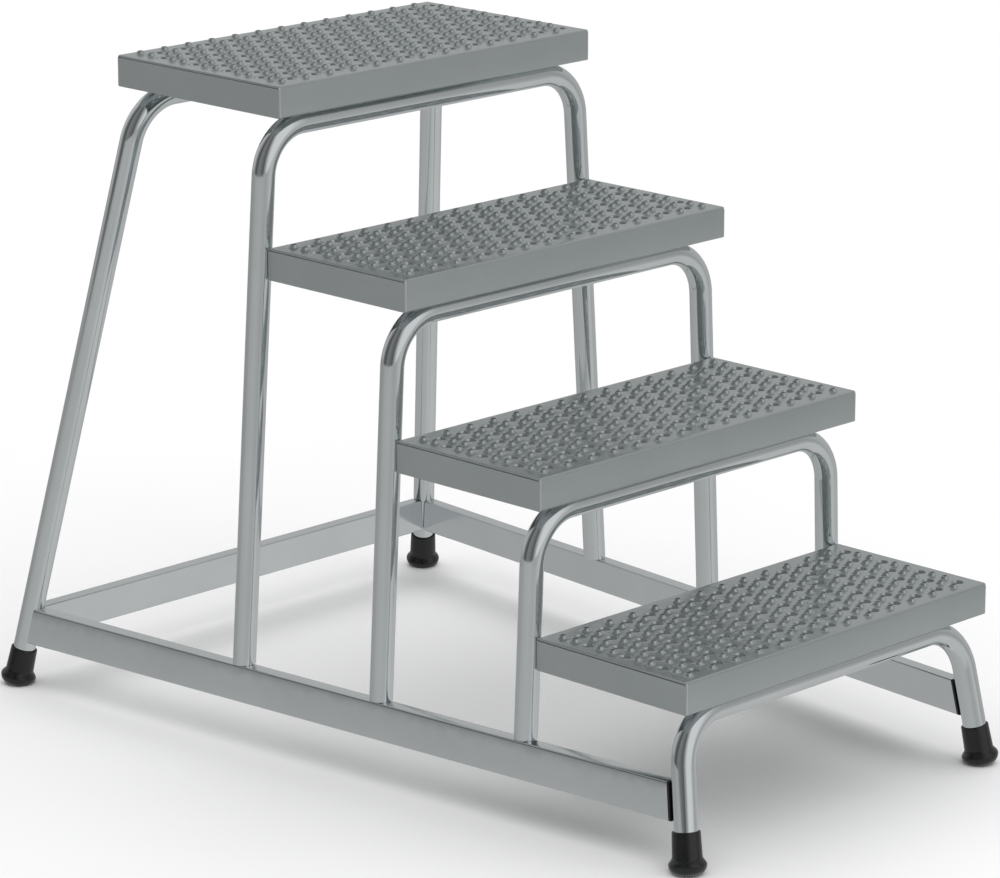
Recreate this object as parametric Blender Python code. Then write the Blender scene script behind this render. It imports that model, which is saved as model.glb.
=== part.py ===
"""Four-step mounting step: bent round-tube hoops on a rectangular-tube base, with folded sheet-metal treads.

Metres, +Z up. The user climbs towards +Y, so -Y is the front and -X is the left side. The origin is on the
floor, at the centre of the footprint. Every piece that is welded or pushed on keeps CONTACT_GAP to its neighbour.
"""

from collections import namedtuple
from math import cos, pi, sin, tan, tau

import bmesh
import bpy
from mathutils import Matrix, Vector

CONTACT_GAP = 0.0003

# Treads: folded trays, open underneath, closed at the ends by separate plates.
FIRST_TREAD_HEIGHT = 0.2545
TREAD_RISE = 0.220
TREAD_THICKNESS = 0.044
SHEET = 0.002
LIP_DEPTH = 0.045
END_GROOVE = 0.0012

# The studs and holes of a tread lie in one field, which stands for them as a raised part of the top sheet.
STUD_HEIGHT = 0.005
STUD_FIELD_SIDE_MARGIN = 0.0135
STUD_FIELD_FRONT_MARGIN = 0.012
STUD_FIELD_REAR_MARGIN = 0.0115

# Round tube of the hoops.
TUBE_RADIUS = 0.016
TUBE_WALL = 0.002
TUBE_SIDES = 16
BEND_RADIUS = 0.070
BEND_STEPS = 6

# Box tube of the base. Its top is level, and its sides lean outwards with the legs: RAIL_LEAN is out per down.
RAIL_HEIGHT = 0.050
RAIL_WIDTH = 0.0215
RAIL_WALL = 0.002
RAIL_TOP = 0.114
RAIL_LEAN = 0.12
RAIL_PLUG_FLANGE = 0.003
RAIL_PLUG_DEPTH = 0.018
# The rear rail is coped this much wider than the legs, so that it clears the ends of the side rails as well.
REAR_RAIL_CLEARANCE = 0.0012
COPE_SIDES = 32

# Rubber ferrules on the four legs that reach the floor, turned about the leg.
FOOT_SIDES = 24
FOOT_HEIGHT = 0.056
FOOT_RIM_RADIUS = 0.01875
FOOT_NECK_RADIUS = 0.0199
FOOT_NECK_HEIGHT = 0.024
FOOT_BASE_RADIUS = 0.0255
FOOT_BASE_EDGE = 0.013
FOOT_EDGE_STEPS = 4
FOOT_SOCKET_FLOOR = 0.010
FOOT_SQUASH = 0.0015
WASHER_THICKNESS = 0.0015
WASHER_RADIUS = 0.0145
WASHER_HOLE_RADIUS = 0.005

# Plan positions along Y are counted from the front edge of the first tread.
FIRST_EDGE_Y = -0.5957

Tread = namedtuple("Tread", "name step half_width front depth")
TREADS = (
    Tread("step_1", 0, 0.300, 0.000, 0.2635),
    Tread("step_2", 1, 0.312, 0.246, 0.2645),
    Tread("step_3", 2, 0.312, 0.492, 0.2645),
    Tread("platform", 3, 0.299, 0.744, 0.328),
)

# A hoop's bar runs under a tread at bar_y. Its legs reach the floor line at half width foot_x and at foot_y.
Hoop = namedtuple("Hoop", "name step bar_x bar_y foot_x foot_y on_floor")
HOOPS = (
    Hoop("front_hoop", 0, 0.2765, 0.0305, 0.297, -0.0035, True),
    Hoop("step_2_hoop", 1, 0.2895, 0.280, 0.307, 0.280, False),
    Hoop("step_3_hoop", 2, 0.2995, 0.527, 0.3325, 0.527, False),
    Hoop("platform_hoop", 3, 0.2985, 0.773, 0.358, 0.773, False),
    Hoop("rear_hoop", 3, 0.2835, 1.0445, 0.408, 1.195, True),
)
FRONT_HOOP = HOOPS[0]
REAR_HOOP = HOOPS[-1]
SIDES = (("left", -1), ("right", 1))

METAL_TREAD = ("tread_steel", (0.26, 0.29, 0.28, 1.0), 0.45, 0.9)
METAL_TUBE = ("polished_steel", (0.55, 0.57, 0.58, 1.0), 0.12, 1.0)
METAL_RAIL = ("rail_steel", (0.50, 0.52, 0.53, 1.0), 0.18, 1.0)
METAL_WASHER = ("zinc_plate", (0.60, 0.60, 0.58, 1.0), 0.35, 1.0)
RUBBER = ("black_rubber", (0.012, 0.013, 0.014, 1.0), 0.35, 0.0)
PLASTIC = ("black_plastic", (0.015, 0.015, 0.016, 1.0), 0.40, 0.0)


def clear_scene():
    for old in list(bpy.data.objects):
        bpy.data.objects.remove(old, do_unlink=True)


def material(finish):
    """The Principled BSDF material of a finish, made once."""
    name, colour, roughness, metallic = finish
    if name in bpy.data.materials:
        return bpy.data.materials[name]
    made = bpy.data.materials.new(name)
    made.use_nodes = True
    shader = made.node_tree.nodes["Principled BSDF"]
    shader.inputs["Base Color"].default_value = colour
    shader.inputs["Roughness"].default_value = roughness
    shader.inputs["Metallic"].default_value = metallic
    return made


def object_from(name, bm, finish=None, smooth_angle=None):
    """Turn a bmesh into a linked object; without a finish it is a cutter."""
    bmesh.ops.recalc_face_normals(bm, faces=bm.faces)
    mesh = bpy.data.meshes.new(name)
    bm.to_mesh(mesh)
    bm.free()
    made = bpy.data.objects.new(name, mesh)
    bpy.context.scene.collection.objects.link(made)
    if finish is None:
        made.hide_render = True
        made.display_type = "WIRE"
        return made
    mesh.materials.append(material(finish))
    if smooth_angle is not None:
        mesh.shade_smooth()
        mesh.set_sharp_from_angle(angle=smooth_angle)
    return made


def boolean(target, other, operation="DIFFERENCE"):
    modifier = target.modifiers.new(f"{operation.lower()}_{other.name}", "BOOLEAN")
    modifier.object = other
    modifier.operation = operation
    modifier.solver = "EXACT"


def loft(bm, rings, closed=False):
    """Skin a list of rings of points; a closed loft joins the last ring to the first, an open one is capped."""
    vertices = [[bm.verts.new(point) for point in ring] for ring in rings]
    sides = len(rings[0])
    pairs = list(zip(vertices, vertices[1:]))
    if closed:
        pairs.append((vertices[-1], vertices[0]))
    for lower, upper in pairs:
        for i in range(sides):
            j = (i + 1) % sides
            bm.faces.new((lower[i], lower[j], upper[j], upper[i]))
    if not closed:
        bm.faces.new(vertices[0])
        bm.faces.new(vertices[-1])


def box(bm, low, high):
    """An axis-aligned block between two corners."""
    low, high = Vector(low), Vector(high)
    placed = Matrix.Translation((low + high) / 2) @ Matrix.Diagonal((*(high - low), 1.0))
    bmesh.ops.create_cube(bm, size=1.0, matrix=placed)


def circle_points(centre, u, v, radius, sides):
    points = []
    for i in range(sides):
        angle = tau * (i + 0.5) / sides
        points.append(centre + radius * (u * cos(angle) + v * sin(angle)))
    return points


def perpendicular_pair(axis):
    """Two unit vectors at right angles to an axis and to each other."""
    u = axis.cross(Vector((0, 1, 0))).normalized()
    return u, axis.cross(u).normalized()


def along_y(distance):
    """Row Y of a distance behind the front edge of the first tread."""
    return FIRST_EDGE_Y + distance


def tread_top(step):
    return FIRST_TREAD_HEIGHT + step * TREAD_RISE


def bar_height(step):
    return tread_top(step) - TREAD_THICKNESS - CONTACT_GAP - TUBE_RADIUS


def leg_ends(hoop, side):
    """Where a leg's axis meets the floor, and the corner where it would meet the bar's axis."""
    floor = Vector((side * hoop.foot_x, along_y(hoop.foot_y), 0.0))
    corner = Vector((side * hoop.bar_x, along_y(hoop.bar_y), bar_height(hoop.step)))
    return floor, corner


def leg_axis(hoop, side):
    floor, corner = leg_ends(hoop, side)
    return (corner - floor).normalized()


def leg_point(hoop, side, height):
    """The point of a leg's axis at a height above the floor."""
    floor, corner = leg_ends(hoop, side)
    return floor.lerp(corner, height / corner.z)


def bend_points(before, corner, after):
    """Points of the arc that rounds a corner of the tube, and the directions of the tube there."""
    arrive = (corner - before).normalized()
    leave = (after - corner).normalized()
    turn = arrive.angle(leave)
    axis = arrive.cross(leave).normalized()
    outward = (arrive.cross(axis)).normalized()
    start = corner - arrive * (BEND_RADIUS * tan(turn / 2))
    centre = start - outward * BEND_RADIUS
    stations = []
    for i in range(BEND_STEPS + 1):
        spin = Matrix.Rotation(turn * i / BEND_STEPS, 3, axis)
        stations.append((centre + spin @ (outward * BEND_RADIUS), spin @ arrive))
    return stations


def hoop_stations(hoop):
    """Points and directions along a hoop's axis, from its left foot over the bar to its right foot."""
    left_floor, left_corner = leg_ends(hoop, -1)
    right_floor, right_corner = leg_ends(hoop, 1)
    if hoop.on_floor:
        above_floor = FOOT_SOCKET_FLOOR + WASHER_THICKNESS + 2 * CONTACT_GAP - FOOT_SQUASH
        start = left_floor + leg_axis(hoop, -1) * above_floor
        end = right_floor + leg_axis(hoop, 1) * above_floor
    else:
        start = leg_point(hoop, -1, RAIL_TOP + CONTACT_GAP)
        end = leg_point(hoop, 1, RAIL_TOP + CONTACT_GAP)
    stations = [(start, leg_axis(hoop, -1))]
    stations += bend_points(left_floor, left_corner, right_corner)
    stations += bend_points(left_corner, right_corner, right_floor)
    stations.append((end, -leg_axis(hoop, 1)))
    return stations


def hoop_rings(hoop, radius):
    """Rings of points round a hoop's axis; legs that stand on a rail end level with it."""
    stations = hoop_stations(hoop)
    across = leg_axis(hoop, -1).cross(Vector((1, 0, 0))).normalized()
    rings = []
    for centre, direction in stations:
        rings.append(circle_points(centre, across, direction.cross(across), radius, TUBE_SIDES))
    if not hoop.on_floor:
        for index in (0, -1):
            centre, direction = stations[index]
            rings[index] = [p + direction * ((centre.z - p.z) / direction.z) for p in rings[index]]
    return rings


def build_hoop(hoop):
    bm = bmesh.new()
    outer = hoop_rings(hoop, TUBE_RADIUS)
    inner = hoop_rings(hoop, TUBE_RADIUS - TUBE_WALL)
    loft(bm, outer + inner[::-1], closed=True)
    return object_from(hoop.name, bm, METAL_TUBE, smooth_angle=pi / 5)


def tread_profile(tread):
    """Outline of a tray in the Y-Z plane: top sheet, two flanges and two lips turned in under it."""
    top = tread_top(tread.step)
    bottom = top - TREAD_THICKNESS
    front = along_y(tread.front)
    rear = front + tread.depth
    return (
        (front, bottom),
        (front, top),
        (rear, top),
        (rear, bottom),
        (rear - LIP_DEPTH, bottom),
        (rear - LIP_DEPTH, bottom + SHEET),
        (rear - SHEET, bottom + SHEET),
        (rear - SHEET, top - SHEET),
        (front + SHEET, top - SHEET),
        (front + SHEET, bottom + SHEET),
        (front + LIP_DEPTH, bottom + SHEET),
        (front + LIP_DEPTH, bottom),
    )


def raise_stud_field(tray, tread):
    """Raise the stud field of a tray's top sheet by the height of the studs, at the sheet's own thickness."""
    top = tread_top(tread.step)
    front = along_y(tread.front) + STUD_FIELD_FRONT_MARGIN
    rear = along_y(tread.front) + tread.depth - STUD_FIELD_REAR_MARGIN
    side = tread.half_width - STUD_FIELD_SIDE_MARGIN
    raised = bmesh.new()
    box(raised, (-side, front, top - SHEET / 2), (side, rear, top + STUD_HEIGHT))
    boolean(tray, object_from(f"stud_field_{tread.name}", raised), "UNION")
    inner = side - SHEET
    hollow = bmesh.new()
    box(hollow, (-inner, front + SHEET, top - 2 * SHEET), (inner, rear - SHEET, top + STUD_HEIGHT - SHEET))
    boolean(tray, object_from(f"cut_field_{tread.name}", hollow))


def build_tray(tread):
    bm = bmesh.new()
    outline = tread_profile(tread)
    loft(bm, [[Vector((x, y, z)) for y, z in outline] for x in (-tread.half_width, tread.half_width)])
    tray = object_from(f"{tread.name}_tray", bm, METAL_TREAD)
    top = tread_top(tread.step)
    bottom = top - TREAD_THICKNESS
    front = along_y(tread.front)
    rear = front + tread.depth
    room = SHEET + CONTACT_GAP
    for side_name, side in SIDES:
        notch = bmesh.new()
        outer_x = side * (tread.half_width + room)
        inner_x = side * (tread.half_width - room)
        low = (min(outer_x, inner_x), front + SHEET, bottom - room)
        high = (max(outer_x, inner_x), rear - SHEET, bottom + room)
        box(notch, low, high)
        boolean(tray, object_from(f"cut_lips_{tread.name}_{side_name}", notch))
    raise_stud_field(tray, tread)
    return tray


def build_tread_end(tread, side_name, side):
    """Plate that closes an end of a tray, flush with its flanges, with a groove left under the top sheet."""
    top = tread_top(tread.step)
    front = along_y(tread.front)
    inset = SHEET + CONTACT_GAP
    outer_x = side * tread.half_width
    inner_x = side * (tread.half_width - SHEET)
    bm = bmesh.new()
    low = (min(outer_x, inner_x), front + inset, top - TREAD_THICKNESS)
    high = (max(outer_x, inner_x), front + tread.depth - inset, top - SHEET - END_GROOVE)
    box(bm, low, high)
    return object_from(f"{tread.name}_end_{side_name}", bm, METAL_TREAD)


def rail_middle(hoop, side):
    """The point of a leg's axis at the middle height of the rails."""
    return leg_point(hoop, side, RAIL_TOP - RAIL_HEIGHT / 2)


def section_points(centre, outward, half_width, half_height):
    """Corners of a rail's section, which leans so that its sides run outwards on their way down."""
    lean = Vector((0, 0, 1)) - outward * RAIL_LEAN
    corners = ((-1, -1), (1, -1), (1, 1), (-1, 1))
    return [centre + outward * (a * half_width) + lean * (b * half_height) for a, b in corners]


def rail_rings(ends, outward, inset):
    """Sections at both ends of a rail, each slid along the rail into its end plane; ends are (point, normal)."""
    along = (ends[1][0] - ends[0][0]).normalized()
    rings = []
    for centre, normal in ends:
        ring = section_points(centre, outward, RAIL_WIDTH / 2 - inset, RAIL_HEIGHT / 2 - inset)
        rings.append([p + along * ((centre - p).dot(normal) / along.dot(normal)) for p in ring])
    return rings


def build_rail(name, ends, outward):
    bm = bmesh.new()
    outer = rail_rings(ends, outward, 0.0)
    inner = rail_rings(ends, outward, RAIL_WALL)
    loft(bm, outer + inner[::-1], closed=True)
    return object_from(name, bm, METAL_RAIL)


def leg_cutter(name, hoop, side, clearance):
    """A round bar about a leg, just larger than the tube, that copes the rails that are welded to it."""
    axis = leg_axis(hoop, side)
    u, v = perpendicular_pair(axis)
    radius = (TUBE_RADIUS + clearance) / cos(pi / COPE_SIDES)
    bm = bmesh.new()
    ends = [leg_point(hoop, side, height) for height in (RAIL_TOP - 2 * RAIL_HEIGHT, RAIL_TOP + RAIL_HEIGHT)]
    loft(bm, [circle_points(end, u, v, radius, COPE_SIDES) for end in ends])
    return object_from(name, bm)


def end_normal_to_leg(hoop, side, along):
    """Normal of a plane that holds the leg's direction and faces along the rail."""
    axis = leg_axis(hoop, side)
    return (along - axis * along.dot(axis)).normalized()


def side_rail_frame(side):
    """Where a side rail's axis meets the legs' axes, its direction, its outward side and its front end plane."""
    front = rail_middle(FRONT_HOOP, side)
    rear = rail_middle(REAR_HOOP, side)
    along = (rear - front).normalized()
    outward = along.cross(Vector((0, 0, side))).normalized()
    return front, rear, along, outward, end_normal_to_leg(FRONT_HOOP, side, along)


def build_side_rail(side_name, side):
    front, rear, along, outward, front_normal = side_rail_frame(side)
    set_back = TUBE_RADIUS + 2 * CONTACT_GAP + RAIL_PLUG_FLANGE
    start = front + along * (set_back / along.dot(front_normal))
    end = rear - along * (TUBE_RADIUS / 2)
    ends = ((start, front_normal), (end, end_normal_to_leg(REAR_HOOP, side, along)))
    rail = build_rail(f"side_rail_{side_name}", ends, outward)
    boolean(rail, leg_cutter(f"cope_side_{side_name}", REAR_HOOP, side, CONTACT_GAP))
    return rail


def build_rail_plug(side_name, side):
    """Plastic plug in the front end of a side rail: a flange as large as the rail and a shank inside it."""
    front, _, along, outward, normal = side_rail_frame(side)
    slope = along.dot(normal)
    flange_start = front + along * ((TUBE_RADIUS + CONTACT_GAP) / slope)
    flange_end = flange_start + along * (RAIL_PLUG_FLANGE / slope)
    shank_end = flange_end + along * RAIL_PLUG_DEPTH
    flange = rail_rings(((flange_start, normal), (flange_end, normal)), outward, 0.0)
    shank = rail_rings(((flange_end, normal), (shank_end, normal)), outward, RAIL_WALL + CONTACT_GAP)
    bm = bmesh.new()
    loft(bm, flange + shank)
    return object_from(f"rail_plug_{side_name}", bm, PLASTIC)


def build_rear_rail():
    left = rail_middle(REAR_HOOP, -1)
    right = rail_middle(REAR_HOOP, 1)
    along = Vector((1, 0, 0))
    short = along * (TUBE_RADIUS / 2)
    rail = build_rail("rear_rail", ((left + short, along), (right - short, along)), Vector((0, 1, 0)))
    for side_name, side in SIDES:
        boolean(rail, leg_cutter(f"cope_rear_{side_name}", REAR_HOOP, side, REAR_RAIL_CLEARANCE))
    return rail


def turned(bm, origin, axis, profile, sides):
    """Turn a closed profile of (radius, height) points about an axis, as a ring without a core."""
    u, v = perpendicular_pair(axis)
    loft(bm, [circle_points(origin + axis * height, u, v, radius, sides) for radius, height in profile], closed=True)


def turned_solid(bm, origin, axis, profile, sides):
    """Turn a profile that starts and ends on flat discs square to the axis."""
    u, v = perpendicular_pair(axis)
    loft(bm, [circle_points(origin + axis * height, u, v, radius, sides) for radius, height in profile])


def foot_profile():
    """Ferrule from the underside of its base, out and up to the rim, then down into the socket."""
    socket_radius = (TUBE_RADIUS + CONTACT_GAP) / cos(pi / FOOT_SIDES)
    edge_centre_radius = FOOT_BASE_RADIUS - FOOT_BASE_EDGE
    profile = []
    for i in range(FOOT_EDGE_STEPS + 1):
        angle = pi / 2 * i / FOOT_EDGE_STEPS
        radius = edge_centre_radius + FOOT_BASE_EDGE * sin(angle)
        profile.append((radius, FOOT_BASE_EDGE * (1 - cos(angle))))
    profile.append((FOOT_NECK_RADIUS, FOOT_NECK_HEIGHT))
    profile.append((FOOT_RIM_RADIUS, FOOT_HEIGHT))
    profile.append((socket_radius, FOOT_HEIGHT))
    profile.append((socket_radius, FOOT_SOCKET_FLOOR))
    return profile


def build_foot(hoop, end_name, side_name, side):
    """Rubber ferrule along a leg, cut level where it stands on the floor."""
    axis = leg_axis(hoop, side)
    floor, _ = leg_ends(hoop, side)
    origin = floor - axis * FOOT_SQUASH
    bm = bmesh.new()
    turned_solid(bm, origin, axis, foot_profile(), FOOT_SIDES)
    foot = object_from(f"foot_{end_name}_{side_name}", bm, RUBBER, smooth_angle=pi / 5)
    ground = bmesh.new()
    reach = 2 * FOOT_BASE_RADIUS
    low = (floor.x - reach, floor.y - reach, -reach)
    high = (floor.x + reach, floor.y + reach, 0.0)
    box(ground, low, high)
    boolean(foot, object_from(f"ground_{end_name}_{side_name}", ground))
    return foot


def build_washer(hoop, end_name, side_name, side):
    """Steel washer in the socket of a foot, which the end of the leg stands on."""
    axis = leg_axis(hoop, side)
    floor, _ = leg_ends(hoop, side)
    bottom = FOOT_SOCKET_FLOOR + CONTACT_GAP - FOOT_SQUASH
    top = bottom + WASHER_THICKNESS
    profile = (
        (WASHER_RADIUS, bottom),
        (WASHER_RADIUS, top),
        (WASHER_HOLE_RADIUS, top),
        (WASHER_HOLE_RADIUS, bottom),
    )
    bm = bmesh.new()
    turned(bm, floor, axis, profile, TUBE_SIDES)
    return object_from(f"foot_washer_{end_name}_{side_name}", bm, METAL_WASHER)


def build_all():
    clear_scene()
    for hoop in HOOPS:
        build_hoop(hoop)
    for tread in TREADS:
        build_tray(tread)
        for side_name, side in SIDES:
            build_tread_end(tread, side_name, side)
    for side_name, side in SIDES:
        build_side_rail(side_name, side)
        build_rail_plug(side_name, side)
    build_rear_rail()
    for hoop, end_name in ((FRONT_HOOP, "front"), (REAR_HOOP, "rear")):
        for side_name, side in SIDES:
            build_foot(hoop, end_name, side_name, side)
            build_washer(hoop, end_name, side_name, side)


build_all()
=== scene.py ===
"""Looks of a stepped mounting block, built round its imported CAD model.

Metres, +Z up, in the CAD's own frame: the climber faces +Y and the left side is -X. Each visual piece
stands for one CAD node. Heights and edges are read from the nodes' boxes; what the boxes don't say is a
named value below.
"""

from collections import namedtuple
from math import cos, pi, radians, sin, tan, tau

import bmesh
import bpy
from mathutils import Matrix, Vector


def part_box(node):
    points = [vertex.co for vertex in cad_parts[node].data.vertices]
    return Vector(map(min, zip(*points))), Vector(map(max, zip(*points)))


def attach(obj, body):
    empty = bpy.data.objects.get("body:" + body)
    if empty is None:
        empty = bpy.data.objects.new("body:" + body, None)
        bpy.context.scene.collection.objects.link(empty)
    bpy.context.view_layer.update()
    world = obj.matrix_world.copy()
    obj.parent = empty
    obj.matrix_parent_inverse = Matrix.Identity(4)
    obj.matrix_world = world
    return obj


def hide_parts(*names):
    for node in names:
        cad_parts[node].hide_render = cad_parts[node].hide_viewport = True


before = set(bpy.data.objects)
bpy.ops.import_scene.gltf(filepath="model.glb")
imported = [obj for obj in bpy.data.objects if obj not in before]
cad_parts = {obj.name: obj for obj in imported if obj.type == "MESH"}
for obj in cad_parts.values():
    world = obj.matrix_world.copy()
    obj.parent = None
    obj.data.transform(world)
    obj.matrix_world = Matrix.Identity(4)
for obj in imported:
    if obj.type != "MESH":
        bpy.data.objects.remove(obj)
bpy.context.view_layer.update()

SIDES = (("left", -1), ("right", 1))
CONTACT_GAP = 0.0003

# Faces that meet at more than these angles are shaded with a sharp edge between them.
SMOOTH_ANGLE = radians(40)
TRAY_SMOOTH_ANGLE = radians(32)
CARVED_SMOOTH_ANGLE = radians(30)

# Folded trays of the treads: the sheet, its bends, the lips turned in under it, and its broken edges. Each
# end plate sits a little behind the tray's edge, and a groove separates it from the top sheet.
SHEET = 0.002
TOP_BEND = 0.0035
BOTTOM_BEND = 0.0022
BEND_FACETS = 6
LIP_DEPTH = 0.045
FLANGE_EDGE = 0.0017
TOP_EDGE = 0.0008
EDGE_STEPS = 4
END_GROOVE = 0.0016
GROOVE_DEPTH = 0.0016
END_PLATE_EDGE = 0.0005
END_PLATE_RECESS = 0.00005
END_PLATE_OVERLAP = 0.0003

# Studs and dimples stand in columns from front to rear. Every other column is shifted by half a pitch, and
# in a column two studs are followed by one dimple. Both are drawn from the sheet and open at the rim.
# Profiles are (radius, height) from the sheet's top to the rim, and along the other face to its underside.
# A tray's box ends STUD_HEIGHT above its sheet, and the rounded studs stay just below that.
COLUMN_PITCH = 0.02205
ROW_PITCH = 0.022
STUD_HEIGHT = 0.005
STUD_SEGMENTS = 16
STUD_PROFILE = (
    (0.0076, 0.0), (0.0071, 0.0001), (0.0064, 0.0006), (0.0056, 0.0017), (0.0049, 0.0029),
    (0.0043, 0.0038), (0.0038, 0.0043), (0.0034, 0.0044), (0.0031, 0.0043), (0.0030, 0.0039),
    (0.0030, 0.0008), (0.0037, -0.0010), (0.0049, -0.0019), (0.0058, -SHEET),
)
DIMPLE_SEGMENTS = 24
DIMPLE_PROFILE = (
    (0.0094, 0.0), (0.0090, -0.00003), (0.0085, -0.0004), (0.0081, -0.0011), (0.0076, -0.0023),
    (0.0072, -0.0036), (0.0069, -0.0050), (0.0071, -0.0054), (0.0078, -0.0056), (0.0086, -0.0048),
    (0.0093, -0.0030), (0.0099, -SHEET),
)

# The flanges' rounded upright corners get a lighter steel, a painted highlight: faces turned this far both
# ways, and not looking up or down.
HIGHLIGHT_TURN = 0.15
HIGHLIGHT_SLOPE = 0.5

# The stud field of each tray: its columns and rows, the first column's X, and the distance of the last row
# from the tray's rear edge.
Field = namedtuple("Field", "tread columns rows first_x rear_margin")
FIELDS = (
    Field("step_1", 26, 11, -0.2759, 0.0245),
    Field("step_2", 27, 11, -0.2855, 0.0235),
    Field("step_3", 27, 11, -0.2842, 0.0214),
    Field("platform", 26, 14, -0.2727, 0.0180),
)

# Round tube of the hoops. The axes of a hoop's legs meet its bar's axis at bar_x and bar_y, and the floor at
# foot_x and foot_y. X is half a width, and Y a distance behind the front edge of the first tread.
TUBE_RADIUS = 0.016
TUBE_WALL = 0.002
TUBE_SIDES = 48
BEND_RADIUS = 0.070
BEND_STEPS = 24

Hoop = namedtuple("Hoop", "name bar_x bar_y foot_x foot_y on_floor")
HOOPS = (
    Hoop("front_hoop", 0.2765, 0.0305, 0.297, -0.0035, True),
    Hoop("step_2_hoop", 0.2895, 0.280, 0.307, 0.280, False),
    Hoop("step_3_hoop", 0.2995, 0.527, 0.3325, 0.527, False),
    Hoop("platform_hoop", 0.2985, 0.773, 0.358, 0.773, False),
    Hoop("rear_hoop", 0.2835, 1.0445, 0.408, 1.195, True),
)
FRONT_HOOP = HOOPS[0]
REAR_HOOP = HOOPS[-1]
FIRST_EDGE_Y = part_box("step_1_tray")[0].y

# Box tube of the base, whose sides lean outwards on their way down by RAIL_LEAN.
RAIL_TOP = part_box("rear_rail")[1].z
RAIL_HEIGHT = 0.050
RAIL_WIDTH = 0.0215
RAIL_WALL = 0.002
RAIL_LEAN = 0.12
RAIL_CORNER = 0.0022
RAIL_CORNER_STEPS = 5
PLUG_FLANGE = 0.003
PLUG_DEPTH = 0.018
COPE_SIDES = 96
REAR_RAIL_CLEARANCE = 0.0012

# Rubber ferrules, turned about the leg.
FOOT_SIDES = 72
FOOT_HEIGHT = 0.056
FOOT_RIM_RADIUS = 0.01875
FOOT_RIM_EDGE = 0.0011
FOOT_NECK_RADIUS = 0.0197
FOOT_NECK_HEIGHT = 0.0235
FOOT_BASE_RADIUS = 0.0251
FOOT_BASE_EDGE = 0.013
FOOT_SOCKET_FLOOR = 0.010
FOOT_SQUASH = 0.0015
WASHER_THICKNESS = 0.0015
CURVE_STEPS = 10

# Procedural materials: a cloudy colour and roughness run between two ends over this stretch of a noise.
# Scales are about the number of patches per metre.
CLOUD_LOW = 0.3
CLOUD_HIGH = 0.7
METAL_CLOUD_SCALE = 9.0
METAL_ROUGHNESS_SCALE = 60.0
METAL_BUMP = 0.25
RUBBER_CLOUD_SCALE = 55.0
RUBBER_ROUGHNESS_SCALE = 140.0
RUBBER_SMOOTHER = 0.06
RUBBER_ROUGHER = 0.08
RUBBER_BUMP = 0.3
TUBE_DARK = (0.69, 0.725, 0.735)
TUBE_LIGHT = (0.73, 0.765, 0.775)
FLOOR_CLOUD_SCALE = 1.5
FLOOR_ROUGHNESS = 0.9
FLOOR_DARK = (0.90, 0.90, 0.90)
FLOOR_LIGHT = (0.92, 0.92, 0.92)

# The camera: where it looks, from which side, how far away, and its lens.
CAMERA_TARGET = Vector((-0.1572, -0.1250, 0.4539))
CAMERA_SIDE = Vector((-0.68725, -0.67568, 0.26680)).normalized()
CAMERA_DISTANCE = 6.0847
CAMERA_LENS = 163.7
CAMERA_ROLL = radians(0.072)
SENSOR_WIDTH = 36.0
FLOOR_SIZE = 60.0
OVERHEAD_STRENGTH = 2.2
OVERHEAD_SPREAD = radians(100)

# Brightness of the studio round the object, as (degrees from the camera's side, brightness): the wall has a
# dark stretch on one side and a bright one on the other, and the ground is almost even.
GROUND_LIGHT = (
    (-180, 0.46), (-140, 0.45), (-90, 0.46), (-40, 0.49), (0, 0.51),
    (30, 0.58), (90, 0.60), (130, 0.55), (180, 0.46),
)
HORIZON_LIGHT = (
    (-180, 0.44), (-127, 0.35), (-100, 0.36), (-67, 0.46), (-20, 0.50), (8, 0.46), (22, 0.42),
    (50, 0.48), (68, 0.60), (80, 0.54), (97, 0.39), (112, 0.51), (142, 0.45), (180, 0.44),
)
WALL_LIGHT = (
    (-180, 0.50), (-150, 0.50), (-127, 0.62), (-107, 0.42), (-93, 0.22), (-80, 0.10), (-66, 0.12),
    (-55, 0.24), (-35, 0.21), (-15, 0.15), (-1, 0.11), (2, 0.30), (13, 0.36), (22, 0.64),
    (32, 0.77), (70, 0.77), (80, 0.60), (92, 0.36), (112, 0.48), (140, 0.49), (180, 0.50),
)
CEILING_LIGHT = ((-180, 0.35), (-100, 0.25), (-80, 0.20), (0, 0.20), (20, 0.40), (180, 0.40))

# The belts change into each other between these sines of the elevation.
GROUND_TO_HORIZON = (-0.40, -0.15)
HORIZON_TO_WALL = (-0.07, -0.01)
WALL_TO_CEILING = (0.80, 0.95)


# ---------------------------------------------------------------- mesh helpers

def loft(bm, rings, closed=False):
    """Skin a list of rings; a closed loft joins the last ring to the first, an open one is capped."""
    vertices = [[bm.verts.new(point) for point in ring] for ring in rings]
    sides = len(rings[0])
    pairs = list(zip(vertices, vertices[1:]))
    if closed:
        pairs.append((vertices[-1], vertices[0]))
    for lower, upper in pairs:
        for i in range(sides):
            j = (i + 1) % sides
            bm.faces.new((lower[i], lower[j], upper[j], upper[i]))
    if not closed:
        bm.faces.new(vertices[0])
        bm.faces.new(vertices[-1])


def circle_points(centre, u, v, radius, sides):
    """Points of a circle in the plane of two unit vectors."""
    points = []
    for i in range(sides):
        angle = tau * (i + 0.5) / sides
        points.append(centre + radius * (u * cos(angle) + v * sin(angle)))
    return points


def perpendicular_pair(axis):
    """Two unit vectors at right angles to an axis and to each other."""
    u = axis.cross(Vector((0, 1, 0))).normalized()
    return u, axis.cross(u).normalized()


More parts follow.
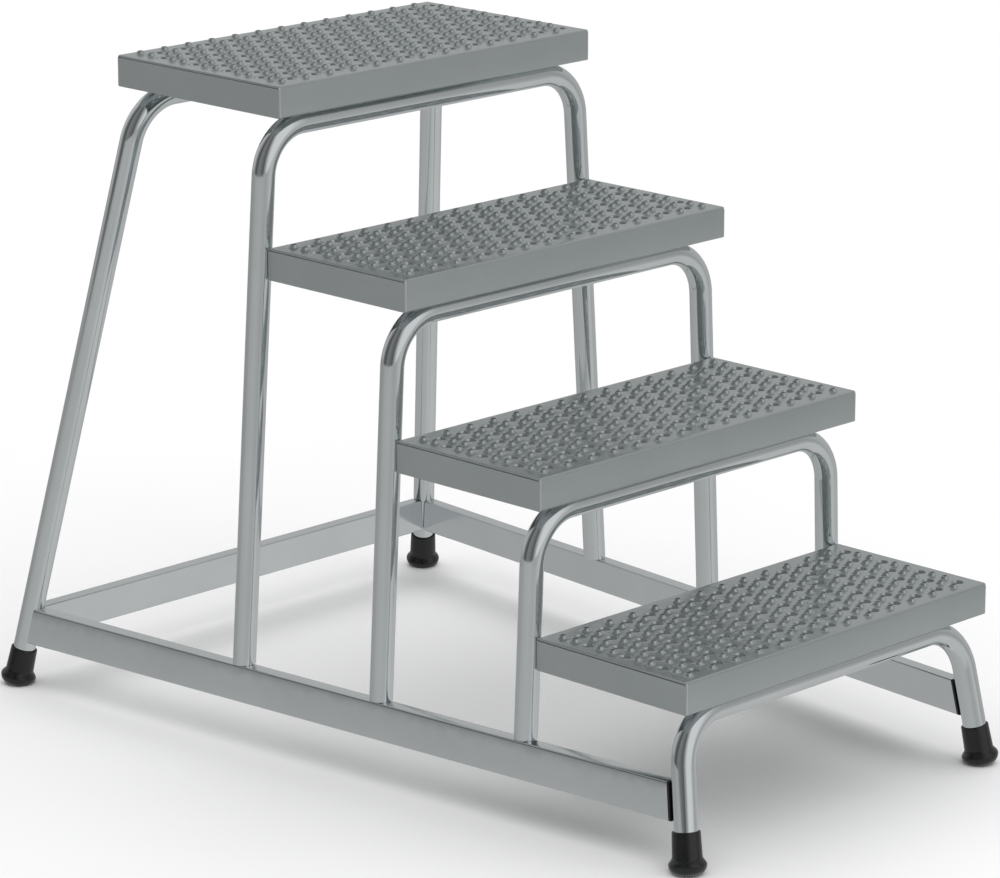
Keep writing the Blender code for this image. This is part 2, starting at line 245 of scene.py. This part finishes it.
def finished(name, bm, material, smooth_angle=SMOOTH_ANGLE):
    """Turn a closed bmesh into a smooth-shaded object with one material."""
    bmesh.ops.recalc_face_normals(bm, faces=bm.faces)
    mesh = bpy.data.meshes.new(name)
    bm.to_mesh(mesh)
    bm.free()
    mesh.shade_smooth()
    mesh.set_sharp_from_angle(angle=smooth_angle)
    made = bpy.data.objects.new(name, mesh)
    bpy.context.scene.collection.objects.link(made)
    if material is not None:
        mesh.materials.append(material)
    return made


def stands_for(piece, node):
    """A piece takes the place of a CAD node and rides on the frame."""
    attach(piece, "root")
    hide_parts(node)


def carve(target, cutters):
    """Cut the cutters out of the target for good, and remove them."""
    for cutter in cutters:
        modifier = target.modifiers.new("cope", "BOOLEAN")
        modifier.object = cutter
        modifier.operation = "DIFFERENCE"
        modifier.solver = "EXACT"
    evaluated = target.evaluated_get(bpy.context.evaluated_depsgraph_get())
    carved = bpy.data.meshes.new_from_object(evaluated)
    carved.shade_smooth()
    carved.set_sharp_from_angle(angle=CARVED_SMOOTH_ANGLE)
    target.modifiers.clear()
    target.data = carved
    for cutter in cutters:
        bpy.data.objects.remove(cutter, do_unlink=True)


# ---------------------------------------------------------------- hoops of round tube

def along_y(distance):
    """Y of a distance behind the front edge of the first tread."""
    return FIRST_EDGE_Y + distance


def leg_ends(hoop, side):
    """Where a leg's axis meets the floor, and the corner where it would meet the bar's axis."""
    bar_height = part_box(hoop.name)[1].z - TUBE_RADIUS
    floor = Vector((side * hoop.foot_x, along_y(hoop.foot_y), 0.0))
    corner = Vector((side * hoop.bar_x, along_y(hoop.bar_y), bar_height))
    return floor, corner


def leg_axis(hoop, side):
    """Direction of a leg, upwards."""
    floor, corner = leg_ends(hoop, side)
    return (corner - floor).normalized()


def leg_point(hoop, side, height):
    """The point of a leg's axis at a height above the floor."""
    floor, corner = leg_ends(hoop, side)
    return floor.lerp(corner, height / corner.z)


def bend_points(before, corner, after):
    """Points of the arc that rounds a corner of the tube, and the directions of the tube there."""
    arrive = (corner - before).normalized()
    leave = (after - corner).normalized()
    turn = arrive.angle(leave)
    axis = arrive.cross(leave).normalized()
    outward = arrive.cross(axis).normalized()
    start = corner - arrive * (BEND_RADIUS * tan(turn / 2))
    centre = start - outward * BEND_RADIUS
    stations = []
    for i in range(BEND_STEPS + 1):
        spin = Matrix.Rotation(turn * i / BEND_STEPS, 3, axis)
        stations.append((centre + spin @ (outward * BEND_RADIUS), spin @ arrive))
    return stations


def hoop_stations(hoop):
    """Points and directions along a hoop's axis, from its left foot over the bar to its right foot."""
    left_floor, left_corner = leg_ends(hoop, -1)
    right_floor, right_corner = leg_ends(hoop, 1)
    if hoop.on_floor:
        above_floor = FOOT_SOCKET_FLOOR + WASHER_THICKNESS + 2 * CONTACT_GAP - FOOT_SQUASH
        start = left_floor + leg_axis(hoop, -1) * above_floor
        end = right_floor + leg_axis(hoop, 1) * above_floor
    else:
        start = leg_point(hoop, -1, RAIL_TOP + CONTACT_GAP)
        end = leg_point(hoop, 1, RAIL_TOP + CONTACT_GAP)
    stations = [(start, leg_axis(hoop, -1))]
    stations += bend_points(left_floor, left_corner, right_corner)
    stations += bend_points(left_corner, right_corner, right_floor)
    stations.append((end, -leg_axis(hoop, 1)))
    return stations


def hoop_rings(hoop, radius):
    """Rings of points round a hoop's axis; legs that stand on a rail end level with it."""
    stations = hoop_stations(hoop)
    across = leg_axis(hoop, -1).cross(Vector((1, 0, 0))).normalized()
    rings = []
    for centre, direction in stations:
        rings.append(circle_points(centre, across, direction.cross(across), radius, TUBE_SIDES))
    if not hoop.on_floor:
        for index in (0, -1):
            centre, direction = stations[index]
            rings[index] = [p + direction * ((centre.z - p.z) / direction.z) for p in rings[index]]
    return rings


def build_hoop(hoop, material):
    """A bent tube, hollow from end to end."""
    bm = bmesh.new()
    outer = hoop_rings(hoop, TUBE_RADIUS)
    inner = hoop_rings(hoop, TUBE_RADIUS - TUBE_WALL)
    loft(bm, outer + inner[::-1], closed=True)
    piece = finished(f"{hoop.name}_tube", bm, material)
    stands_for(piece, hoop.name)


# ---------------------------------------------------------------- trays of perforated sheet

def front_chain(front, bottom, top, field_y):
    """Outer outline of a tray's front, from the lip's edge to the stud field: (y, z, normal y, normal z)."""
    chain = [(front + LIP_DEPTH, bottom, 0.0, -1.0)]
    bends = ((bottom + BOTTOM_BEND, BOTTOM_BEND, -pi / 2, -pi), (top - TOP_BEND, TOP_BEND, pi, pi / 2))
    for centre_z, radius, start, end in bends:
        for i in range(BEND_FACETS + 1):
            angle = start + (end - start) * i / BEND_FACETS
            y = front + radius * (1 + cos(angle))
            z = centre_z + radius * sin(angle)
            chain.append((y, z, cos(angle), sin(angle)))
    chain.append((field_y, top, 0.0, 1.0))
    return chain


def mirrored(chain, front, rear):
    """The same outline at the tray's rear, from the stud field to the lip's edge."""
    return [(front + rear - y, z, -ny, nz) for y, z, ny, nz in reversed(chain)]


class Tray:
    """One perforated tray: X stations across it, a folded outline at front and rear, and the stud field."""

    def __init__(self, field):
        self.field = field
        low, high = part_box(f"{field.tread}_tray")
        self.half_width = high.x
        self.front, self.rear = low.y, high.y
        self.bottom = low.z
        self.top = high.z - STUD_HEIGHT
        self.bm = bmesh.new()
        self.grid = {}
        self.set_stations()

    def set_stations(self):
        """X of every station with its share of the end rounding, and Y of every half pitch from the rear."""
        field = self.field
        first = field.first_x - COLUMN_PITCH / 2
        inner = [(first + i * COLUMN_PITCH / 2, 0.0) for i in range(2 * field.columns + 1)]
        lip_end = self.half_width - SHEET - CONTACT_GAP
        end = [(lip_end, 0.0)]
        for i in range(EDGE_STEPS + 1):
            angle = pi / 2 * i / EDGE_STEPS
            end.append((self.half_width - FLANGE_EDGE * (1 - sin(angle)), 1 - cos(angle)))
        left = [(-x, inset) for x, inset in reversed(end)]
        self.stations = left + inner + end
        self.first_column = len(left)
        self.lip_range = (len(left) - 1, len(left) + len(inner))
        start = self.rear - field.rear_margin + ROW_PITCH / 2
        self.half_rows = [start - j * ROW_PITCH / 2 for j in range(2 * field.rows + 1)]

    def edge_radius(self, normal_z):
        """The outer end edge is well rounded down the flanges and only broken along the top sheet."""
        return FLANGE_EDGE + (TOP_EDGE - FLANGE_EDGE) * max(0.0, normal_z)

    def outline_vertices(self, chain):
        """Outer and inner vertices of a folded outline at every station; the field's edge is shared."""
        outer, inner = [], []
        for x, inset in self.stations:
            outer_row, inner_row = [], []
            for y, z, ny, nz in chain:
                sunk = self.edge_radius(nz) * inset
                outer_row.append(self.shared(x, y - ny * sunk, z - nz * sunk))
                inner_row.append(self.shared(x, y - ny * SHEET, z - nz * SHEET))
            outer.append(outer_row)
            inner.append(inner_row)
        return outer, inner

    def shared(self, x, y, z):
        """One vertex for each place, so that neighbouring stretches of the sheet join."""
        key = (round(x, 6), round(y, 6), round(z, 6))
        if key not in self.grid:
            self.grid[key] = self.bm.verts.new((x, y, z))
        return self.grid[key]

    def add_outline(self, chain, lip_index, edge_index):
        """Skin a folded outline; its flat lip stops short of the end plates."""
        outer, inner = self.outline_vertices(chain)
        faces = self.bm.faces
        last = len(self.stations) - 1
        lip_segment = min(lip_index, edge_index)
        first_lip, last_lip = self.lip_range
        for i in range(last):
            has_lip = first_lip <= i and i + 1 <= last_lip
            for s in range(len(chain) - 1):
                if s == lip_segment and not has_lip:
                    continue
                faces.new((outer[i][s], outer[i][s + 1], outer[i + 1][s + 1], outer[i + 1][s]))
                faces.new((inner[i][s], inner[i + 1][s], inner[i + 1][s + 1], inner[i][s + 1]))
            rim = lip_index if has_lip else edge_index
            faces.new((outer[i][rim], outer[i + 1][rim], inner[i + 1][rim], inner[i][rim]))
        for i in (first_lip, last_lip):
            a, b = lip_index, edge_index
            faces.new((outer[i][a], outer[i][b], inner[i][b], inner[i][a]))
        for i in (0, last):
            for s in range(len(chain) - 1):
                if s != lip_segment:
                    faces.new((outer[i][s], outer[i][s + 1], inner[i][s + 1], inner[i][s]))

    def sheet_vertex(self, station, j, side):
        """A vertex of the stud field's sheet on its top (side 1) or underside (side -1)."""
        x, inset = self.stations[station]
        if side > 0:
            z = self.top - self.edge_radius(1.0) * inset
        else:
            z = self.top - SHEET
        return self.shared(x, self.half_rows[j], z)

    def add_plain(self, stations, j, k):
        """A plain patch of sheet between two half rows, on both faces."""
        for side in (1, -1):
            near = [self.sheet_vertex(i, j, side) for i in stations]
            far = [self.sheet_vertex(i, k, side) for i in reversed(stations)]
            self.bm.faces.new(near + far)

    def add_element(self, column, j, profile, segments):
        """A stud or dimple in the cell about half row j, with its hole through the sheet."""
        middle = self.first_column + 2 * column + 1
        centre = Vector((self.stations[middle][0], self.half_rows[j], self.top))
        rings = []
        for radius, height in profile:
            ring = []
            for i in range(segments):
                angle = tau * i / segments
                point = centre + Vector((radius * cos(angle), radius * sin(angle), height))
                ring.append(self.bm.verts.new(point))
            rings.append(ring)
        for upper, lower in zip(rings, rings[1:]):
            for i in range(segments):
                k = (i + 1) % segments
                self.bm.faces.new((upper[i], upper[k], lower[k], lower[i]))
        around = ((1, 0), (1, -1), (0, -1), (-1, -1), (-1, 0), (-1, 1), (0, 1), (1, 1))
        share = segments // len(around)
        for ring, side in ((rings[0], 1), (rings[-1], -1)):
            border = [self.sheet_vertex(middle + di, j + dj, side) for di, dj in around]
            for b in range(len(around)):
                arc = [ring[(b * share + n) % segments] for n in range(share + 1)]
                following = border[(b + 1) % len(around)]
                self.bm.faces.new([border[b], following] + arc[::-1])

    def is_flange_edge(self, place):
        """Whether a place lies on a flange's rounded upright corner, where a lighter steel paints a
        highlight.
        """
        return abs(place.x) > self.half_width - FLANGE_EDGE and place.z < self.top

    def add_field(self):
        """The stud field with the plain sheet round it, closed at both ends of the tray."""
        rows = self.field.rows
        for column in range(self.field.columns):
            shift = column % 2
            left = self.first_column + 2 * column
            across = [left, left + 1, left + 2]
            if shift:
                self.add_plain(across, 0, 1)
                self.add_plain(across, 2 * rows - 1, 2 * rows)
            # A shifted column starts with a dimple, the others with two studs.
            first_dimple = 0 if shift else 2
            for row in range(rows - shift):
                is_dimple = row % 3 == first_dimple
                profile = DIMPLE_PROFILE if is_dimple else STUD_PROFILE
                segments = DIMPLE_SEGMENTS if is_dimple else STUD_SEGMENTS
                self.add_element(column, 2 * row + 1 + shift, profile, segments)
        last = len(self.stations) - 1
        last_column = self.first_column + 2 * self.field.columns
        for i in (*range(self.first_column), *range(last_column, last)):
            for j in range(2 * rows):
                self.add_plain([i, i + 1], j, j + 1)
        for i in (0, last):
            for j in range(2 * rows):
                edge = [self.sheet_vertex(i, j, 1), self.sheet_vertex(i, j + 1, 1)]
                edge += [self.sheet_vertex(i, j + 1, -1), self.sheet_vertex(i, j, -1)]
                self.bm.faces.new(edge)

    def build(self, material, highlight_material):
        """Join the parts of the sheet and give its rounded upright corners a lighter steel as a painted
        highlight.
        """
        front = front_chain(self.front, self.bottom, self.top, self.half_rows[-1])
        rear_field_y = self.front + self.rear - self.half_rows[0]
        rear_source = front_chain(self.front, self.bottom, self.top, rear_field_y)
        rear = mirrored(rear_source, self.front, self.rear)
        self.add_outline(front, 0, 1)
        self.add_outline(rear, len(rear) - 1, len(rear) - 2)
        self.add_field()
        piece = finished(f"{self.field.tread}_sheet", self.bm, material, TRAY_SMOOTH_ANGLE)
        piece.data.materials.append(highlight_material)
        # Faces on the flanges' rounded upright corners take the lighter steel, a painted highlight.
        for face in piece.data.polygons:
            turn = min(abs(face.normal.x), abs(face.normal.y))
            if turn > HIGHLIGHT_TURN and abs(face.normal.z) < HIGHLIGHT_SLOPE:
                face.material_index = self.is_flange_edge(face.center)
        stands_for(piece, f"{self.field.tread}_tray")


def rounded_outline(low, high, bottom_radius, top_radius):
    """Corners of a rectangle of (y, z) points, rounded at the bottom and at the top."""
    corners = (
        (high[0] - bottom_radius, low[1] + bottom_radius, bottom_radius, -pi / 2),
        (high[0] - top_radius, high[1] - top_radius, top_radius, 0.0),
        (low[0] + top_radius, high[1] - top_radius, top_radius, pi / 2),
        (low[0] + bottom_radius, low[1] + bottom_radius, bottom_radius, pi),
    )
    points = []
    for y, z, radius, start in corners:
        for i in range(BEND_FACETS + 1):
            angle = start + pi / 2 * i / BEND_FACETS
            points.append((y + radius * cos(angle), z + radius * sin(angle)))
    return points


def build_end_plate(tread, side_name, side, material):
    """Plate that closes an end of a tray. Its outer part ends below the top sheet, which leaves a groove."""
    low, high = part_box(f"{tread}_tray")
    sheet_underside = high.z - STUD_HEIGHT - SHEET
    face_x = high.x - END_PLATE_RECESS
    near_y, far_y = low.y + END_PLATE_OVERLAP, high.y - END_PLATE_OVERLAP
    face_low, face_high = (near_y, low.z), (far_y, sheet_underside - END_GROOVE)
    face = rounded_outline(face_low, face_high, BOTTOM_BEND, END_PLATE_EDGE)
    eased = [(y, min(z, face_high[1] - END_PLATE_EDGE / 2)) for y, z in face]
    backing = rounded_outline(face_low, (far_y, sheet_underside), BOTTOM_BEND, TOP_BEND / 2)
    layers = (
        (face_x, eased),
        (face_x - END_PLATE_EDGE, face),
        (face_x - GROOVE_DEPTH, face),
        (face_x - GROOVE_DEPTH, backing),
        (face_x - SHEET, backing),
    )
    rings = []
    for x, outline in layers:
        rings.append([Vector((side * x, y, z)) for y, z in outline])
    bm = bmesh.new()
    loft(bm, rings)
    node = f"{tread}_end_{side_name}"
    piece = finished(f"{node}_plate", bm, material)
    stands_for(piece, node)


# ---------------------------------------------------------------- base of box tube

def rail_middle(hoop, side):
    """The point of a leg's axis at the middle height of the rails."""
    return leg_point(hoop, side, RAIL_TOP - RAIL_HEIGHT / 2)


def section_points(centre, outward, inset):
    """A rail's section with rounded corners; it leans so that its sides run outwards on their way down."""
    lean = Vector((0, 0, 1)) - outward * RAIL_LEAN
    half_width = RAIL_WIDTH / 2 - inset
    half_height = RAIL_HEIGHT / 2 - inset
    radius = max(RAIL_CORNER - inset, RAIL_CORNER / 4)
    points = []
    for a, b, start in ((1, 1, 0.0), (-1, 1, pi / 2), (-1, -1, pi), (1, -1, 3 * pi / 2)):
        for i in range(RAIL_CORNER_STEPS + 1):
            angle = start + pi / 2 * i / RAIL_CORNER_STEPS
            u = a * (half_width - radius) + radius * cos(angle)
            v = b * (half_height - radius) + radius * sin(angle)
            points.append(centre + outward * u + lean * v)
    return points


def rail_rings(ends, outward, inset):
    """Sections at a rail's ends, each slid along the rail into its end plane; ends are (point, normal)."""
    along = (ends[1][0] - ends[0][0]).normalized()
    rings = []
    for centre, normal in ends:
        ring = section_points(centre, outward, inset)
        rings.append([p + along * ((centre - p).dot(normal) / along.dot(normal)) for p in ring])
    return rings


def leg_cutter(hoop, side, clearance):
    """A round bar about a leg that copes the rails which are welded to it."""
    u, v = perpendicular_pair(leg_axis(hoop, side))
    radius = (TUBE_RADIUS + clearance) / cos(pi / COPE_SIDES)
    heights = (RAIL_TOP - 2 * RAIL_HEIGHT, RAIL_TOP + RAIL_HEIGHT)
    ends = [leg_point(hoop, side, height) for height in heights]
    bm = bmesh.new()
    loft(bm, [circle_points(end, u, v, radius, COPE_SIDES) for end in ends])
    return finished("cutter", bm, None)


def end_normal_to_leg(hoop, side, along):
    """Normal of a plane that holds the leg's direction and faces along the rail."""
    axis = leg_axis(hoop, side)
    return (along - axis * along.dot(axis)).normalized()


def build_rail(node, ends, outward, cutters, material):
    """A box tube between two end planes, coped by the cutters."""
    bm = bmesh.new()
    outer = rail_rings(ends, outward, 0.0)
    inner = rail_rings(ends, outward, RAIL_WALL)
    loft(bm, outer + inner[::-1], closed=True)
    piece = finished(f"{node}_tube", bm, material)
    carve(piece, cutters)
    stands_for(piece, node)


def build_side_rail(side_name, side, rail_material, plug_material):
    """A side rail and the plastic plug in its front end."""
    front = rail_middle(FRONT_HOOP, side)
    rear = rail_middle(REAR_HOOP, side)
    along = (rear - front).normalized()
    outward = along.cross(Vector((0, 0, side))).normalized()
    normal = end_normal_to_leg(FRONT_HOOP, side, along)
    slope = along.dot(normal)
    flange_start = front + along * ((TUBE_RADIUS + CONTACT_GAP) / slope)
    flange_end = flange_start + along * (PLUG_FLANGE / slope)
    rail_start = front + along * ((TUBE_RADIUS + 2 * CONTACT_GAP + PLUG_FLANGE) / slope)
    rail_end = rear - along * (TUBE_RADIUS / 2)
    ends = ((rail_start, normal), (rail_end, end_normal_to_leg(REAR_HOOP, side, along)))
    cutters = [leg_cutter(REAR_HOOP, side, CONTACT_GAP)]
    build_rail(f"side_rail_{side_name}", ends, outward, cutters, rail_material)

    shank_end = flange_end + along * PLUG_DEPTH
    flange = rail_rings(((flange_start, normal), (flange_end, normal)), outward, 0.0)
    shank = rail_rings(((flange_end, normal), (shank_end, normal)), outward, RAIL_WALL + CONTACT_GAP)
    bm = bmesh.new()
    loft(bm, flange + shank)
    piece = finished(f"rail_plug_{side_name}_moulding", bm, plug_material)
    stands_for(piece, f"rail_plug_{side_name}")


def build_rear_rail(material):
    """The rail across the rear legs, coped round both."""
    left = rail_middle(REAR_HOOP, -1)
    right = rail_middle(REAR_HOOP, 1)
    along = Vector((1, 0, 0))
    short = along * (TUBE_RADIUS / 2)
    ends = ((left + short, along), (right - short, along))
    cutters = [leg_cutter(REAR_HOOP, side, REAR_RAIL_CLEARANCE) for _, side in SIDES]
    build_rail("rear_rail", ends, Vector((0, 1, 0)), cutters, material)


# ---------------------------------------------------------------- rubber feet

def foot_profile():
    """Ferrule from the underside of its base, out and up to the rounded rim, then down into the socket."""
    flat_radius = FOOT_BASE_RADIUS - FOOT_BASE_EDGE
    profile = []
    for i in range(CURVE_STEPS + 1):
        angle = pi / 2 * i / CURVE_STEPS
        profile.append((flat_radius + FOOT_BASE_EDGE * sin(angle), FOOT_BASE_EDGE * (1 - cos(angle))))
    for i in range(1, CURVE_STEPS + 1):
        share = i / CURVE_STEPS
        blend = (1 + cos(pi * share)) / 2
        radius = FOOT_NECK_RADIUS + (FOOT_BASE_RADIUS - FOOT_NECK_RADIUS) * blend
        profile.append((radius, FOOT_BASE_EDGE + (FOOT_NECK_HEIGHT - FOOT_BASE_EDGE) * share))
    rim_centre = FOOT_RIM_RADIUS - FOOT_RIM_EDGE
    for i in range(CURVE_STEPS + 1):
        angle = pi * i / CURVE_STEPS
        height = FOOT_HEIGHT - FOOT_RIM_EDGE * (1 - sin(angle))
        profile.append((rim_centre + FOOT_RIM_EDGE * cos(angle), height))
    socket_radius = TUBE_RADIUS + CONTACT_GAP
    profile.append((socket_radius, FOOT_HEIGHT - 2 * FOOT_RIM_EDGE))
    profile.append((socket_radius, FOOT_SOCKET_FLOOR))
    return profile


def build_foot(hoop, node, side, material):
    """Rubber ferrule along a leg, pressed flat where it stands on the floor."""
    axis = leg_axis(hoop, side)
    u, v = perpendicular_pair(axis)
    origin = leg_ends(hoop, side)[0] - axis * FOOT_SQUASH
    rings = []
    for radius, height in foot_profile():
        rings.append(circle_points(origin + axis * height, u, v, radius, FOOT_SIDES))
    for ring in rings:
        for point in ring:
            point.z = max(point.z, 0.0)
    bm = bmesh.new()
    loft(bm, rings)
    piece = finished(f"{node}_ferrule", bm, material)
    stands_for(piece, node)


# ---------------------------------------------------------------- materials

class Shader:
    """A Principled material with helpers for procedural detail in object space."""

    def __init__(self, name, roughness, metallic):
        self.material = bpy.data.materials.new(name)
        self.material.use_nodes = True
        self.nodes = self.material.node_tree.nodes
        self.links = self.material.node_tree.links
        self.bsdf = self.nodes["Principled BSDF"]
        self.bsdf.inputs["Roughness"].default_value = roughness
        self.bsdf.inputs["Metallic"].default_value = metallic
        self.place = self.nodes.new("ShaderNodeTexCoord").outputs["Object"]

    def noise(self, scale, detail):
        """A noise over the object's own space."""
        texture = self.nodes.new("ShaderNodeTexNoise")
        texture.inputs["Scale"].default_value = scale
        texture.inputs["Detail"].default_value = detail
        self.links.new(self.place, texture.inputs["Vector"])
        return texture.outputs["Fac"]

    def cloud(self, value, low, high):
        """Run between two colours as a noise rises."""
        node = self.nodes.new("ShaderNodeValToRGB")
        stops = ((CLOUD_LOW, low), (CLOUD_HIGH, high))
        for element, (position, colour) in zip(node.color_ramp.elements, stops):
            element.position = position
            element.color = (*colour, 1.0)
        self.links.new(value, node.inputs["Fac"])
        return node.outputs["Color"]

    def feed(self, output, name):
        """Link an output to one of the Principled node's inputs."""
        self.links.new(output, self.bsdf.inputs[name])

    def bump(self, height, strength, distance):
        """Raise a fine grain from a noise."""
        node = self.nodes.new("ShaderNodeBump")
        node.inputs["Strength"].default_value = strength
        node.inputs["Distance"].default_value = distance
        self.links.new(height, node.inputs["Height"])
        self.feed(node.outputs["Normal"], "Normal")


def grey(value):
    """A colour whose three parts are the same."""
    return (value, value, value)


def metal(name, metallic, dark, light, roughness, spread, grain, grain_depth):
    """Satin or polished steel: cloudy colour and roughness, and a fine grain."""
    shader = Shader(name, roughness, metallic)
    colour = shader.cloud(shader.noise(METAL_CLOUD_SCALE, detail=4.0), dark, light)
    shader.feed(colour, "Base Color")
    patches = shader.noise(METAL_ROUGHNESS_SCALE, detail=5.0)
    shader.feed(shader.cloud(patches, grey(roughness - spread), grey(roughness + spread)), "Roughness")
    shader.bump(shader.noise(grain, detail=2.0), METAL_BUMP, grain_depth)
    return shader.material


def rubber(name, dark, light, roughness, grain, grain_depth):
    """Moulded black rubber or plastic with a fine skin."""
    shader = Shader(name, roughness, 0.0)
    colour = shader.cloud(shader.noise(RUBBER_CLOUD_SCALE, detail=4.0), dark, light)
    shader.feed(colour, "Base Color")
    patches = shader.noise(RUBBER_ROUGHNESS_SCALE, detail=3.0)
    low, high = roughness - RUBBER_SMOOTHER, roughness + RUBBER_ROUGHER
    shader.feed(shader.cloud(patches, grey(low), grey(high)), "Roughness")
    shader.bump(shader.noise(grain, detail=3.0), RUBBER_BUMP, grain_depth)
    return shader.material


# ---------------------------------------------------------------- stage

def build_floor():
    """A pale matt floor, which the steel doesn't mirror."""
    bm = bmesh.new()
    bmesh.ops.create_grid(bm, x_segments=1, y_segments=1, size=FLOOR_SIZE / 2)
    mesh = bpy.data.meshes.new("studio_floor")
    bm.to_mesh(mesh)
    bm.free()
    floor = bpy.data.objects.new("studio_floor", mesh)
    bpy.context.scene.collection.objects.link(floor)
    shader = Shader("pale_floor", FLOOR_ROUGHNESS, 0.0)
    shader.bsdf.inputs["Specular IOR Level"].default_value = 0.0
    colour = shader.cloud(shader.noise(FLOOR_CLOUD_SCALE, detail=3.0), FLOOR_DARK, FLOOR_LIGHT)
    shader.feed(colour, "Base Color")
    mesh.materials.append(shader.material)
    floor.visible_glossy = False


def world_ramp(nodes, links, turn, stops):
    """Brightness over a whole turn about the vertical, from stops of (degrees, brightness)."""
    share = nodes.new("ShaderNodeMapRange")
    share.inputs["From Min"].default_value = -pi
    share.inputs["From Max"].default_value = pi
    links.new(turn, share.inputs["Value"])
    node = nodes.new("ShaderNodeValToRGB")
    elements = node.color_ramp.elements
    while len(elements) < len(stops):
        elements.new(0.5)
    for element, (degrees, brightness) in zip(elements, stops):
        element.position = (degrees + 180) / 360
        element.color = (brightness, brightness, brightness, 1.0)
    links.new(share.outputs["Result"], node.inputs["Fac"])
    return node.outputs["Color"]


def build_world():
    """Light by direction only: walls and ground of a studio that the polished steel reflects."""
    world = bpy.data.worlds.new("studio")
    bpy.context.scene.world = world
    world.use_nodes = True
    nodes, links = world.node_tree.nodes, world.node_tree.links
    direction = nodes.new("ShaderNodeTexCoord").outputs["Generated"]
    forward = Vector((CAMERA_SIDE.x, CAMERA_SIDE.y, 0.0)).normalized()
    rightward = Vector((-forward.y, forward.x, 0.0))

    def component(axis):
        """How far the direction of view points along an axis."""
        node = nodes.new("ShaderNodeVectorMath")
        node.operation = "DOT_PRODUCT"
        node.inputs[1].default_value = axis
        links.new(direction, node.inputs[0])
        return node.outputs["Value"]

    def rising(sines, lower, upper):
        """Change from one colour to another between two sines of the elevation."""
        share = nodes.new("ShaderNodeMapRange")
        share.interpolation_type = "SMOOTHSTEP"
        share.inputs["From Min"].default_value = sines[0]
        share.inputs["From Max"].default_value = sines[1]
        links.new(height, share.inputs["Value"])
        mix = nodes.new("ShaderNodeMix")
        mix.data_type = "RGBA"
        links.new(share.outputs["Result"], mix.inputs["Factor"])
        links.new(lower, mix.inputs["A"])
        links.new(upper, mix.inputs["B"])
        return mix.outputs["Result"]

    turn = nodes.new("ShaderNodeMath")
    turn.operation = "ARCTAN2"
    links.new(component(rightward), turn.inputs[0])
    links.new(component(forward), turn.inputs[1])
    height = component(Vector((0, 0, 1)))
    light = world_ramp(nodes, links, turn.outputs["Value"], GROUND_LIGHT)
    belts = (
        (GROUND_TO_HORIZON, HORIZON_LIGHT),
        (HORIZON_TO_WALL, WALL_LIGHT),
        (WALL_TO_CEILING, CEILING_LIGHT),
    )
    for sines, stops in belts:
        light = rising(sines, light, world_ramp(nodes, links, turn.outputs["Value"], stops))
    links.new(light, nodes["Background"].inputs["Color"])


def build_camera():
    """The camera, aimed from its side at its target."""
    data = bpy.data.cameras.new("camera")
    data.lens = CAMERA_LENS
    data.sensor_width = SENSOR_WIDTH
    data.clip_end = 2 * FLOOR_SIZE
    camera = bpy.data.objects.new("camera", data)
    bpy.context.scene.collection.objects.link(camera)
    camera.location = CAMERA_TARGET + CAMERA_SIDE * CAMERA_DISTANCE
    aim = (-CAMERA_SIDE).to_track_quat("-Z", "Y").to_matrix().to_4x4()
    camera.rotation_euler = (aim @ Matrix.Rotation(CAMERA_ROLL, 4, "Z")).to_euler()
    bpy.context.scene.camera = camera


def build_overhead_light():
    """Broad soft light from above. It evens out the floor and isn't mirrored in the steel."""
    data = bpy.data.lights.new("overhead_light", "SUN")
    data.energy = OVERHEAD_STRENGTH
    data.angle = OVERHEAD_SPREAD
    light = bpy.data.objects.new("overhead_light", data)
    bpy.context.scene.collection.objects.link(light)
    light.visible_glossy = False


# ---------------------------------------------------------------- assembly

tread_steel = metal(
    "satin_tread_steel", metallic=0.85, dark=(0.44, 0.475, 0.475), light=(0.46, 0.495, 0.495),
    roughness=0.24, spread=0.02, grain=900.0, grain_depth=0.00001,
)
# Lighter steel for the flanges' rounded upright corners: a painted highlight.
painted_highlight_steel = metal(
    "painted_highlight_steel", metallic=0.9, dark=(0.62, 0.66, 0.66), light=(0.68, 0.72, 0.72),
    roughness=0.34, spread=0.05, grain=900.0, grain_depth=0.00002,
)
tube_steel = metal(
    "polished_tube_steel", metallic=1.0, dark=TUBE_DARK, light=TUBE_LIGHT,
    roughness=0.09, spread=0.03, grain=500.0, grain_depth=0.00001,
)
rail_steel = metal(
    "bright_rail_steel", metallic=1.0, dark=TUBE_DARK, light=TUBE_LIGHT,
    roughness=0.16, spread=0.04, grain=700.0, grain_depth=0.00002,
)
washer_steel = metal(
    "zinc_plate", metallic=1.0, dark=(0.50, 0.50, 0.47), light=(0.62, 0.62, 0.60),
    roughness=0.35, spread=0.08, grain=600.0, grain_depth=0.00003,
)
foot_rubber = rubber(
    "black_rubber", dark=(0.005, 0.0055, 0.006), light=(0.010, 0.0105, 0.011),
    roughness=0.24, grain=1200.0, grain_depth=0.00002,
)
plug_plastic = rubber(
    "black_plastic", dark=(0.008, 0.008, 0.009), light=(0.016, 0.016, 0.017),
    roughness=0.40, grain=1500.0, grain_depth=0.00002,
)

build_camera()
build_floor()
build_world()
build_overhead_light()

for hoop in HOOPS:
    build_hoop(hoop, tube_steel)
for field in FIELDS:
    Tray(field).build(tread_steel, painted_highlight_steel)
    for side_name, side in SIDES:
        build_end_plate(field.tread, side_name, side, tread_steel)
for side_name, side in SIDES:
    build_side_rail(side_name, side, rail_steel, plug_plastic)
build_rear_rail(rail_steel)
for hoop, end_name in ((FRONT_HOOP, "front"), (REAR_HOOP, "rear")):
    for side_name, side in SIDES:
        build_foot(hoop, f"foot_{end_name}_{side_name}", side, foot_rubber)
        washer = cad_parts[f"foot_washer_{end_name}_{side_name}"]
        washer.data.materials.clear()
        washer.data.materials.append(washer_steel)

bpy.context.scene.view_settings.view_transform = "Standard"
